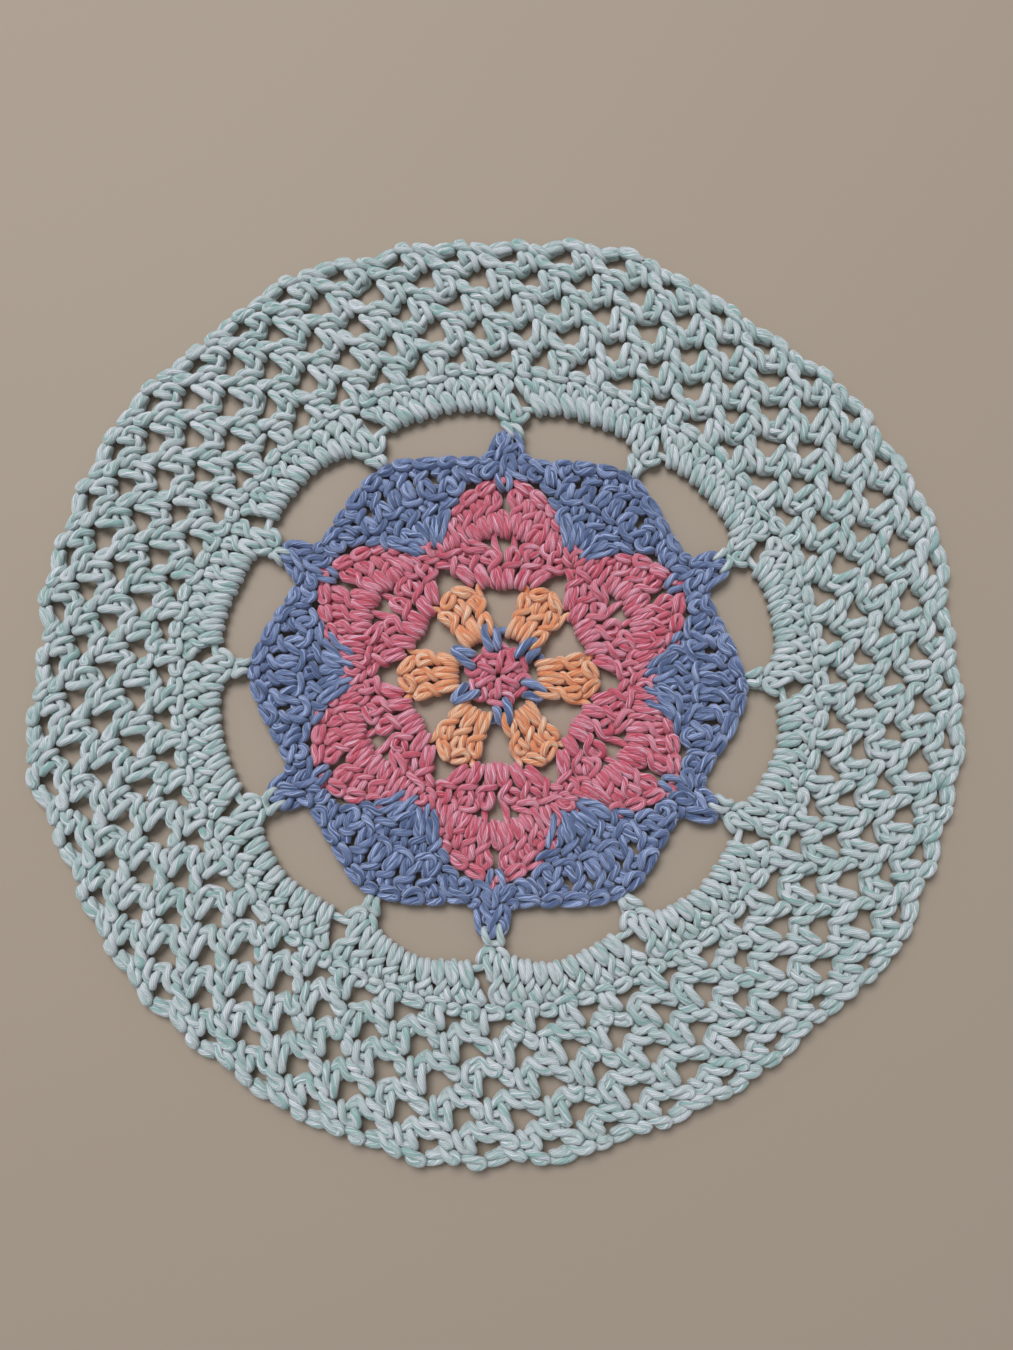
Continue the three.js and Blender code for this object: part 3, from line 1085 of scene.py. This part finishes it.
def plies(paint):
    """The ply's height, its fibres, its finest fibres and its marl, each from 0 to 1."""
    uv = paint.node("UVMap", uv_map="along_and_round")
    split = paint.node("SeparateXYZ")
    paint.feed(uv.outputs[0], split.inputs[0])
    along, around = split.outputs[0], split.outputs[1]
    straying = paint.noise(paint.maths("MULTIPLY", along, STRAY_RATE), around, 0.0)
    straying = paint.between(straying, 0.2, 0.8, -STRAY, STRAY)
    turned = paint.maths("MULTIPLY_ADD", along, 1 / TWIST, paint.maths("ADD", around, straying))
    phase = paint.maths("MULTIPLY", turned, PLIES)
    within = paint.maths("FRACT", phase)
    ply = paint.maths("FLOORED_MODULO", paint.maths("FLOOR", phase), PLIES)
    wave = paint.maths("COSINE", paint.maths("MULTIPLY_ADD", within, math.tau, math.pi))
    height = paint.maths("POWER", paint.maths("MULTIPLY_ADD", wave, 0.5, 0.5), PLY_ROUNDNESS)

    def stretched(value, across, lengthwise, start, detail):
        return paint.noise(paint.maths("MULTIPLY", value, across),
                           paint.maths("MULTIPLY", along, lengthwise), start, detail)

    fibres = stretched(phase, FIBRES_ACROSS, FIBRES_ALONG, 3.7, 3.0)
    finest = stretched(phase, FINEST_ACROSS, FINEST_ALONG, 8.1, 2.0)
    marl = stretched(ply, MARL_ACROSS, MARL_ALONG, 1.3, 1.0)
    return height, fibres, finest, marl


print("one turn of the", PLIES, "plies takes", TWIST, "mm")

# %% [markdown]
# The marl and the fibres choose a shade between dark and light, and the grooves get a painted
# shade, the deepest one. Cotton is matt with a soft sheen where light grazes it. The relief of the
# plies is a tenth of a millimetre or less, so a bump shows it well and the tube itself can stay light.

# %% The cotton material
FIBRE_SHADE = 0.45
DARK_UP_TO, MIDDLE_AT, LIGHT_FROM = 0.33, 0.47, 0.72
# Ply height at which the painted shade in the grooves fades out
PAINTED_SHADE_ENDS = 0.75
FINEST_SHADE = (0.86, 1.1)
FIBRE_RELIEF, FINEST_RELIEF = 0.5, 0.35
RELIEF = 0.06 * MM
RELIEF_STRENGTH = 0.8
MATT = [("Roughness", 0.9), ("Specular IOR Level", 0.2), ("Sheen Weight", 0.6), ("Sheen Roughness", 0.45)]


def shade_of(paint, surface, shades, painted_shade_strength):
    """The colour: marled, with painted shade in the grooves, streaked by the finest fibres."""
    height, fibres, finest, marl = surface
    # The first shade is painted shade for the grooves, and the light one is a painted highlight in the
    # one-coloured yarns
    painted_groove_shade, dark, middle, light = [(*shade, 1) for shade in shades]
    ramp = paint.node("ValToRGB")
    ends = ramp.color_ramp.elements
    ends[0].position = DARK_UP_TO
    ends[0].color = dark
    ends[1].position = LIGHT_FROM
    ends[1].color = light
    between_them = ends.new(MIDDLE_AT)
    between_them.color = middle
    fibre_shade = paint.maths("SUBTRACT", fibres, 0.5)
    paint.feed(paint.maths("MULTIPLY_ADD", fibre_shade, FIBRE_SHADE, marl), ramp.inputs[0])
    # Painted shade: the groove colour is mixed in where the ply is low
    painted_shade_mix = paint.node("Mix", data_type="RGBA")
    paint.feed(paint.between(height, 0.0, PAINTED_SHADE_ENDS, painted_shade_strength, 0.0), painted_shade_mix.inputs["Factor"])
    paint.feed(ramp.outputs[0], painted_shade_mix.inputs["A"])
    painted_shade_mix.inputs["B"].default_value = painted_groove_shade
    streaked = paint.node("VectorMath", operation="SCALE")
    paint.feed(painted_shade_mix.outputs["Result"], streaked.inputs[0])
    paint.feed(paint.between(finest, 0.3, 0.7, *FINEST_SHADE), streaked.inputs["Scale"])
    return streaked.outputs[0]


def cotton(name, shades, painted_shade_strength):
    """Cotton from four shades: painted groove shade, dark, middle and light."""
    paint = Paint(name)
    surface = plies(paint)
    height, fibres, finest, marl = surface
    bump = paint.node("Bump")
    bump.inputs["Strength"].default_value = RELIEF_STRENGTH
    bump.inputs["Distance"].default_value = RELIEF
    relief = paint.maths("MULTIPLY_ADD", finest, FINEST_RELIEF, height)
    relief = paint.maths("MULTIPLY_ADD", fibres, FIBRE_RELIEF, relief)
    paint.feed(relief, bump.inputs["Height"])
    shader = paint.node("BsdfPrincipled")
    for socket, value in MATT:
        shader.inputs[socket].default_value = value
    paint.feed(shade_of(paint, surface, shades, painted_shade_strength), shader.inputs["Base Color"])
    paint.feed(bump.outputs[0], shader.inputs["Normal"])
    out = paint.node("OutputMaterial")
    paint.feed(shader.outputs[0], out.inputs[0])
    return paint.material


# %% [markdown]
# Three yarns are of one colour, and their lighter fibres are painted highlights, laid at random
# along the plies. The mint yarn is marled: white plies with a touch of lilac lie beside green ones.

# %% The four yarns' colours
# The first shade of each yarn is painted shade for its grooves. The light shade is a painted highlight in
# pink, blue and orange, and a white ply in the mint.
SHADES = {  # groove, dark, middle and light
    "pink": [(0.42, 0.02, 0.05), (0.66, 0.10, 0.15), (0.78, 0.20, 0.27), (0.97, 0.56, 0.67)],
    "blue": [(0.02, 0.03, 0.09), (0.10, 0.14, 0.27), (0.19, 0.25, 0.44), (0.52, 0.60, 0.88)],
    "orange": [(0.70, 0.11, 0.03), (0.87, 0.29, 0.12), (0.94, 0.43, 0.21), (0.98, 0.79, 0.58)],
    "mint": [(0.24, 0.35, 0.31), (0.32, 0.51, 0.47), (0.60, 0.65, 0.64), (0.86, 0.83, 0.87)],
}
# How strongly the painted shade goes into each yarn's grooves
PAINTED_SHADE_STRENGTH = {"pink": 0.75, "blue": 0.65, "orange": 0.65, "mint": 0.5}
COTTON = {}
for colour, shades in SHADES.items():
    COTTON[colour] = cotton(f"{colour}_cotton", shades, PAINTED_SHADE_STRENGTH[colour])
print("cotton yarns:", ", ".join(COTTON))

# %% [markdown]
# ## Settling the yarns
# The yarns settle together, because they hold each other. The plan is eased a little first, so that
# no bend is sharper than a real yarn's, and made uneven.

# %% Settling the yarns
PIECES = [
    ([centre], "pink", ["centre_pink"]),
    ([collar], "blue", ["collar_blue"]),
    ([orange], "orange", [f"shell_orange_{k + 1}" for k in range(6)]),
    ([petals], "pink", ["petals_pink"]),
    ([border], "blue", ["border_blue"]),
    ([arches, mesh_yarns[0]], "mint", ["ring_mint"]),
] + [([yarn], "mint", ["ring_mint"]) for yarn in mesh_yarns[1:]]
EASING = 5
LINK = 0.8
SETTLING = 36

yarns = [yarn for group, colour, nodes in PIECES for yarn in group]
plans = [evenly(uneven(eased(drawn(yarn.course), EASING)), LINK) for yarn in yarns]
settled = settle(plans, [yarn.pressed for yarn in yarns], [yarn.highest for yarn in yarns], SETTLING)
print("points settled:", sum(len(plan) for plan in plans))

# %% [markdown]
# ## Every yarn becomes a piece
# The real mint rounds are one yarn. Here each round of mesh is an object of its own, except that the
# first shares one with the arches, so that the piece that stands for the cloth holds more of it.

# %% Every yarn becomes a piece
tubes = {yarn.name: strand(yarn, points) for yarn, points in zip(yarns, settled)}
pieces = {}
for group, colour, nodes in PIECES:
    name = group[0].name
    piece = piece_of(name, [tubes[yarn.name] for yarn in group])
    piece.data.materials.append(COTTON[colour])
    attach(piece, "root")
    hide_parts(*nodes)
    pieces[name] = piece
print("yarn in all, m:", round(sum(tube[3] for tube in tubes.values()) / 1000, 2))
print("triangles in all:", 2 * sum(len(tube[1]) for tube in tubes.values()))

# %% [markdown]
# ## The ring piece
# All the yarns together are one cloth, which lies flat, with twelve openings of air under the
# arches. The piece with the arches and the first round of mesh is taken out of the pieces as the ring.

# %% The ring piece
ring = pieces.pop("yarn_ring_mint_arches")

# %% [markdown]
# ## The floor
# The coaster lies on a plain, pale, matt board. One large square is enough, as its edges are far
# outside the picture.

# %% The floor
FLOOR_REACH = 2.0
FLOOR_COLOUR = (0.42, 0.328, 0.25, 1)
FLOOR_ROUGHNESS = 0.7

r = FLOOR_REACH
floor_mesh = bpy.data.meshes.new("floor")
floor_mesh.from_pydata([(-r, -r, 0), (r, -r, 0), (r, r, 0), (-r, r, 0)], [], [(0, 1, 2, 3)])
floor = linked("floor", floor_mesh)
floor_paint = bpy.data.materials.new("floor")
floor_paint.use_nodes = True
floor_shader = floor_paint.node_tree.nodes["Principled BSDF"]
floor_shader.inputs["Base Color"].default_value = FLOOR_COLOUR
floor_shader.inputs["Roughness"].default_value = FLOOR_ROUGHNESS
floor_mesh.materials.append(floor_paint)
print("floor, m across:", 2 * FLOOR_REACH)

# %% [markdown]
# ## Light
# The room gives a dim, even light from everywhere. One soft light stands in for a window on the far
# left. It is fairly near, so the picture gets a little darker towards its near right.

# %% Light
ROOM_COLOUR = (0.86, 0.93, 1.0, 1)
ROOM_STRENGTH = 0.34
WINDOW_WIDTH, WINDOW_HEIGHT = 1.0, 0.7
WINDOW_WATTS = 17.5
WINDOW_COLOUR = (0.92, 0.96, 1.0)
WINDOW_PLACE = Vector((-0.38, 0.66, 1.3))

world = bpy.data.worlds.new("room")
bpy.context.scene.world = world
world.use_nodes = True
world.node_tree.nodes["Background"].inputs[0].default_value = ROOM_COLOUR
world.node_tree.nodes["Background"].inputs[1].default_value = ROOM_STRENGTH

window = bpy.data.lights.new("window", "AREA")
window.shape = "RECTANGLE"
window.size = WINDOW_WIDTH
window.size_y = WINDOW_HEIGHT
window.energy = WINDOW_WATTS
window.color = WINDOW_COLOUR
stood("window", window, WINDOW_PLACE, -WINDOW_PLACE)
bpy.context.scene.view_settings.view_transform = "Standard"
print("window light, W:", window.energy)
